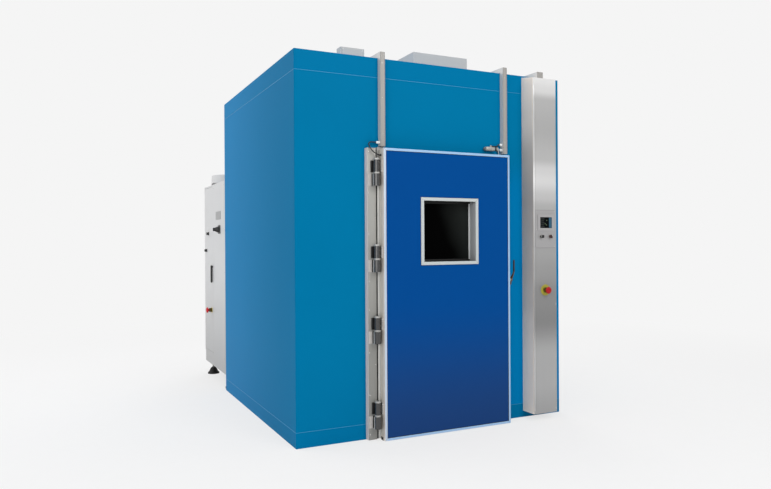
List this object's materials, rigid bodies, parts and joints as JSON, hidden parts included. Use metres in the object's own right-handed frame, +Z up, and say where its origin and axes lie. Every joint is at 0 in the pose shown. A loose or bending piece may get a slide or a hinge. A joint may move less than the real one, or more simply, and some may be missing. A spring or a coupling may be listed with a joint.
{
  "type": "walk-in test chamber",
  "caption": "Insulated walk-in environmental chamber with a hinged door and window, a control column, roof trunking and a machine unit behind.",
  "frame": {"origin": "middle of the room's footprint at floor level", "axes": "-Y out of the door side, +X to the right seen from the door, +Z up"},
  "size_m": [2.4035, 3.396, 3.135],
  "materials": {
    "sky_blue_paint": "satin powder coat",
    "dark_blue_paint": "satin powder coat",
    "stainless": "fine brushed",
    "inner_stainless": "brushed, sealed seams",
    "edge_aluminium": "satin anodised",
    "black_glass": "heated coated pane",
    "black_rubber": "matt silicone",
    "hinge_black": "black enamel on cast steel",
    "pin_steel": "turned and plated",
    "grey_paint": "light grey powder coat",
    "white_plastic": "moulded",
    "black_plastic": "moulded",
    "cast_metal": "die cast",
    "lever_bronze": "browned",
    "panel_plate": "bead blasted",
    "screen": "clear cover",
    "red_plastic": "moulded",
    "yellow_plastic": "moulded",
    "motor_paint": "enamel",
    "coil_fins": "rolled fins",
    "lamp_glass": "frosted",
    "fan_black": "moulded",
    "release_green": "moulded"
  },
  "bodies": {
    "chamber": {"floor_panel": "sky_blue_paint", "ceiling_panel": "sky_blue_paint", "wall_front": "sky_blue_paint", "wall_rear": "sky_blue_paint", "wall_left": "sky_blue_paint", "wall_right": "sky_blue_paint", "inner_liner": "inner_stainless", "cable_port": "stainless", "door_surround": "stainless", "hinge_post": "stainless", "post_hinges": "hinge_black", "hinge_pins": "pin_steel", "latch_keeper": "cast_metal", "door_switch": "cast_metal", "door_trunk": "stainless", "switch_trunk": "stainless", "console_trunk": "stainless", "trunk_glands": "white_plastic", "switch_cable": "black_rubber", "junction_box": "grey_paint", "motor_cover": "grey_paint", "fan_motor": "motor_paint", "air_baffle": "inner_stainless", "evaporator_coil": "coil_fins", "lamp": "lamp_glass", "console_casing": "stainless", "control_plate": "panel_plate", "touchscreen": "screen", "console_stop_collar": "yellow_plastic", "machine_plinth": "grey_paint", "machine_feet": "black_rubber", "machine_casing": "grey_paint", "isolator_plate": "black_plastic", "side_louvre": "grey_paint", "component_plate": "panel_plate", "fan_cowl": "grey_paint"},
    "door": {"door_edge_profile": "edge_aluminium", "door_panel": "dark_blue_paint", "door_casing": "stainless", "door_plug": "inner_stainless", "door_gasket": "black_rubber", "window_bezel": "edge_aluminium", "window_panes": "black_glass", "door_hinges": "hinge_black", "latch_body": "cast_metal", "switch_tongue": "cast_metal", "door_cable": "black_rubber"},
    "door_lever": {"door_handle": "lever_bronze"},
    "inner_release": {"inner_release": "release_green"},
    "console_stop": {"console_stop_head": "red_plastic"},
    "key_switch": {"key_switch": "pin_steel"},
    "selector": {"selector_knob": "black_plastic"},
    "cabinet_door": {"cabinet_door": "grey_paint", "machine_stop_collar": "yellow_plastic", "side_sockets": "black_plastic"},
    "cabinet_handle": {"cabinet_handle": "black_plastic"},
    "machine_stop": {"machine_stop_head": "red_plastic"},
    "isolator": {"isolator_handle": "black_plastic"},
    "circulation_fan": {"circulation_fan": "coil_fins"},
    "exhaust_fan": {"exhaust_fan": "fan_black"}
  },
  "joints": [
    {"name": "door_swing", "type": "hinge", "parent": "chamber", "child": "door", "pos_m": [-0.569, -1.162, 1], "axis": [0, 0, -1], "range_deg": [0, 115], "deforming": ["door_cable"]},
    {"name": "lever_turn", "type": "hinge", "parent": "door", "child": "door_lever", "pos_m": [0.595, -1.176, 1.14], "axis": [1, 0, 0], "range_deg": [0, 75]},
    {"name": "release_turn", "type": "hinge", "parent": "door", "child": "inner_release", "pos_m": [0.445, -1.065, 1.14], "axis": [0, 1, 0], "range_deg": [0, 70]},
    {"name": "console_stop_press", "type": "slide", "parent": "chamber", "child": "console_stop", "axis": [0, 1, 0], "range_m": [0, 0.005], "stiffness_N_per_m": 2000},
    {"name": "key_turn", "type": "hinge", "parent": "chamber", "child": "key_switch", "pos_m": [0.8555, -1.255, 1.481], "axis": [0, 1, 0], "range_deg": [0, 90]},
    {"name": "selector_turn", "type": "hinge", "parent": "chamber", "child": "selector", "pos_m": [0.9465, -1.255, 1.481], "axis": [0, 1, 0], "range_deg": [-45, 45]},
    {"name": "cabinet_swing", "type": "hinge", "parent": "chamber", "child": "cabinet_door", "pos_m": [-1.153, 2.093, 1.2], "axis": [0, 0, -1], "range_deg": [0, 110]},
    {"name": "cabinet_latch_turn", "type": "hinge", "parent": "cabinet_door", "child": "cabinet_handle", "pos_m": [-1.177, 1.6645, 1.193], "axis": [1, 0, 0], "range_deg": [0, 90]},
    {"name": "machine_stop_press", "type": "slide", "parent": "cabinet_door", "child": "machine_stop", "axis": [1, 0, 0], "range_m": [0, 0.005], "stiffness_N_per_m": 2000},
    {"name": "isolator_turn", "type": "hinge", "parent": "chamber", "child": "isolator", "pos_m": [-1.195, 1.328, 1.582], "axis": [1, 0, 0], "range_deg": [0, 90]},
    {"name": "circulation_fan_spin", "type": "hinge", "parent": "chamber", "child": "circulation_fan", "pos_m": [0.4925, -0.035, 2.4], "axis": [0, 0, 1], "continuous": true},
    {"name": "exhaust_fan_spin", "type": "hinge", "parent": "chamber", "child": "exhaust_fan", "pos_m": [-0.93, 1.7, 2.1], "axis": [0, 0, 1], "continuous": true}
  ]
}
